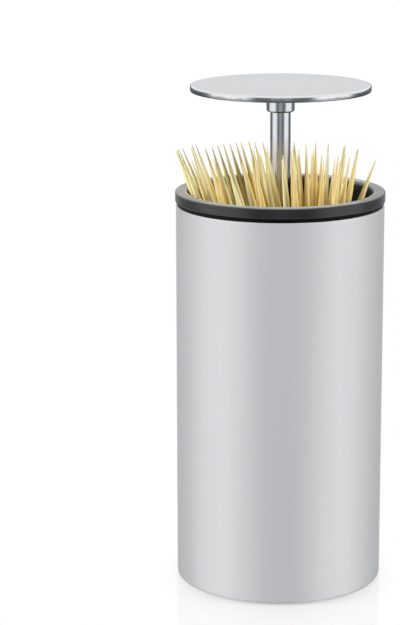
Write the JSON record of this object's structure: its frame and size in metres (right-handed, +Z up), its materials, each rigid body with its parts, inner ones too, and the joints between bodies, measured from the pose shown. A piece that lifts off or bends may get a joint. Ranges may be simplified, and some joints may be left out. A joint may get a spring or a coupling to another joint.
{
  "type": "pop-up toothpick dispenser",
  "caption": "Pop-up toothpick dispenser: a press on the lid sinks the tray of picks into a steel cylinder, where it latches, and a second press lets the spring lift it.",
  "frame": {"origin": "middle of the underside of the rubber foot that the dispenser stands on", "axes": "+Z up along the axis of the cylinder; -Y towards the side with most of the leaning picks facing the viewer; +X to the viewer's right"},
  "size_m": [0.0724, 0.0724, 0.175],
  "materials": {
    "shell_steel": "satin brushed lengthwise",
    "lid_steel": "satin face with a polished edge",
    "polished_steel": "polished",
    "spring_steel": "drawn wire, lightly oiled",
    "zinc_steel": "zinc plated",
    "black_plastic": "fine moulded texture",
    "grey_plastic": "smooth moulded",
    "bearing_plastic": "smooth moulded",
    "rubber": "matt",
    "pick_wood": "bare turned wood"
  },
  "bodies": {
    "housing": {"outer_shell": "shell_steel", "rim_ring": "black_plastic", "inner_liner": "black_plastic", "base_plate": "black_plastic", "foot_pad": "rubber", "base_screws": "zinc_steel", "guide_column": "grey_plastic", "column_screws": "zinc_steel", "guide_bush": "bearing_plastic", "stop_washer": "rubber", "spring_seat": "zinc_steel", "lift_spring": "spring_steel", "latch_bracket": "zinc_steel", "bracket_screws": "zinc_steel", "latch_pivot_pin": "zinc_steel", "latch_leaf": "zinc_steel"},
    "lift": {"lid_disc": "lid_steel", "lid_collar": "polished_steel", "push_rod": "polished_steel", "tray_clips": "zinc_steel", "pick_tray": "black_plastic", "stop_collar": "grey_plastic", "stop_pin": "zinc_steel", "heart_cam": "bearing_plastic", "cam_screws": "zinc_steel", "toothpicks_front": "pick_wood", "toothpicks_front_inner": "pick_wood", "toothpicks_middle": "pick_wood", "toothpicks_middle_inner": "pick_wood", "toothpicks_back_inner": "pick_wood", "toothpicks_back": "pick_wood"},
    "latch_follower": {"latch_arm": "zinc_steel", "latch_follower_pin": "zinc_steel"},
    "leaning_pick_1": {"leaning_pick_1": "pick_wood"},
    "leaning_pick_2": {"leaning_pick_2": "pick_wood"},
    "leaning_pick_3": {"leaning_pick_3": "pick_wood"},
    "leaning_pick_4": {"leaning_pick_4": "pick_wood"},
    "leaning_pick_5": {"leaning_pick_5": "pick_wood"},
    "leaning_pick_6": {"leaning_pick_6": "pick_wood"},
    "leaning_pick_7": {"leaning_pick_7": "pick_wood"},
    "leaning_pick_8": {"leaning_pick_8": "pick_wood"},
    "leaning_pick_9": {"leaning_pick_9": "pick_wood"},
    "leaning_pick_10": {"leaning_pick_10": "pick_wood"},
    "leaning_pick_11": {"leaning_pick_11": "pick_wood"},
    "leaning_pick_12": {"leaning_pick_12": "pick_wood"},
    "leaning_pick_13": {"leaning_pick_13": "pick_wood"},
    "leaning_pick_14": {"leaning_pick_14": "pick_wood"},
    "leaning_pick_15": {"leaning_pick_15": "pick_wood"}
  },
  "joints": [
    {"name": "lift", "type": "slide", "parent": "housing", "child": "lift", "axis": [0, 0, 1], "range_m": [-0.0386, 0], "stiffness_N_per_m": 100, "springref_m": 0.025, "deforming": ["lift_spring"]},
    {"name": "latch_swing", "type": "hinge", "parent": "housing", "child": "latch_follower", "pos_m": [0, 0.0179, 0.008], "axis": [0, 1, 0], "range_deg": [0, 14]},
    {"name": "pick_fold_1", "type": "hinge", "parent": "lift", "child": "leaning_pick_1", "pos_m": [-0.01, 0.009, 0.09104], "axis": [-0.0523, -0.9986, 0], "range_deg": [-16.91, 0]},
    {"name": "pick_fold_2", "type": "hinge", "parent": "lift", "child": "leaning_pick_2", "pos_m": [-0.0116, 0.0054, 0.0912], "axis": [0, -1, 0], "range_deg": [-16.91, 0]},
    {"name": "pick_fold_3", "type": "hinge", "parent": "lift", "child": "leaning_pick_3", "pos_m": [-0.0122, 0.0018, 0.09132], "axis": [0, -1, 0], "range_deg": [-16.91, 0]},
    {"name": "pick_fold_4", "type": "hinge", "parent": "lift", "child": "leaning_pick_4", "pos_m": [-0.0122, -0.0018, 0.09132], "axis": [0.0175, -0.9998, 0], "range_deg": [-16.91, 0]},
    {"name": "pick_fold_5", "type": "hinge", "parent": "lift", "child": "leaning_pick_5", "pos_m": [-0.0116, -0.0054, 0.0912], "axis": [0.0698, -0.9976, 0], "range_deg": [-16.91, 0]},
    {"name": "pick_fold_6", "type": "hinge", "parent": "lift", "child": "leaning_pick_6", "pos_m": [-0.0102, -0.0092, 0.09097], "axis": [0.1392, -0.9903, 0], "range_deg": [-16.91, 0]},
    {"name": "pick_fold_7", "type": "hinge", "parent": "lift", "child": "leaning_pick_7", "pos_m": [-0.0082, -0.0138, 0.09039], "axis": [0.225, -0.9744, 0], "range_deg": [-16.91, 0]},
    {"name": "pick_fold_8", "type": "hinge", "parent": "lift", "child": "leaning_pick_8", "pos_m": [-0.0056, -0.0184, 0.08959], "axis": [0.342, -0.9397, 0], "range_deg": [-16.91, 0]},
    {"name": "pick_fold_9", "type": "hinge", "parent": "lift", "child": "leaning_pick_9", "pos_m": [0.0105, -0.0115, 0.09051], "axis": [0.1045, 0.9945, 0], "range_deg": [-16.91, 0]},
    {"name": "pick_fold_10", "type": "hinge", "parent": "lift", "child": "leaning_pick_10", "pos_m": [-0.0074, 0.008, 0.09168], "axis": [-0.0349, -0.9994, 0], "range_deg": [-16.91, 0]},
    {"name": "pick_fold_11", "type": "hinge", "parent": "lift", "child": "leaning_pick_11", "pos_m": [-0.0102, 0.0036, 0.0917], "axis": [0, -1, 0], "range_deg": [-16.91, 0]},
    {"name": "pick_fold_12", "type": "hinge", "parent": "lift", "child": "leaning_pick_12", "pos_m": [-0.0102, -0.0036, 0.0917], "axis": [0.0349, -0.9994, 0], "range_deg": [-16.91, 0]},
    {"name": "pick_fold_13", "type": "hinge", "parent": "lift", "child": "leaning_pick_13", "pos_m": [-0.0082, -0.0074, 0.09164], "axis": [0.1045, -0.9945, 0], "range_deg": [-16.91, 0]},
    {"name": "pick_fold_14", "type": "hinge", "parent": "lift", "child": "leaning_pick_14", "pos_m": [-0.0064, -0.0114, 0.09113], "axis": [0.1736, -0.9848, 0], "range_deg": [-16.91, 0]},
    {"name": "pick_fold_15", "type": "hinge", "parent": "lift", "child": "leaning_pick_15", "pos_m": [-0.004, -0.0158, 0.09033], "axis": [0.2756, -0.9613, 0], "range_deg": [-16.91, 0]}
  ],
  "couplings": [
    {"joint": "pick_fold_1", "follows": "lift", "rad_per_m": 7.6},
    {"joint": "pick_fold_2", "follows": "lift", "rad_per_m": 7.6},
    {"joint": "pick_fold_3", "follows": "lift", "rad_per_m": 7.6},
    {"joint": "pick_fold_4", "follows": "lift", "rad_per_m": 7.6},
    {"joint": "pick_fold_5", "follows": "lift", "rad_per_m": 7.6},
    {"joint": "pick_fold_6", "follows": "lift", "rad_per_m": 7.6},
    {"joint": "pick_fold_7", "follows": "lift", "rad_per_m": 7.6},
    {"joint": "pick_fold_8", "follows": "lift", "rad_per_m": 7.6},
    {"joint": "pick_fold_9", "follows": "lift", "rad_per_m": 7.6},
    {"joint": "pick_fold_10", "follows": "lift", "rad_per_m": 7.6},
    {"joint": "pick_fold_11", "follows": "lift", "rad_per_m": 7.6},
    {"joint": "pick_fold_12", "follows": "lift", "rad_per_m": 7.6},
    {"joint": "pick_fold_13", "follows": "lift", "rad_per_m": 7.6},
    {"joint": "pick_fold_14", "follows": "lift", "rad_per_m": 7.6},
    {"joint": "pick_fold_15", "follows": "lift", "rad_per_m": 7.6}
  ]
}
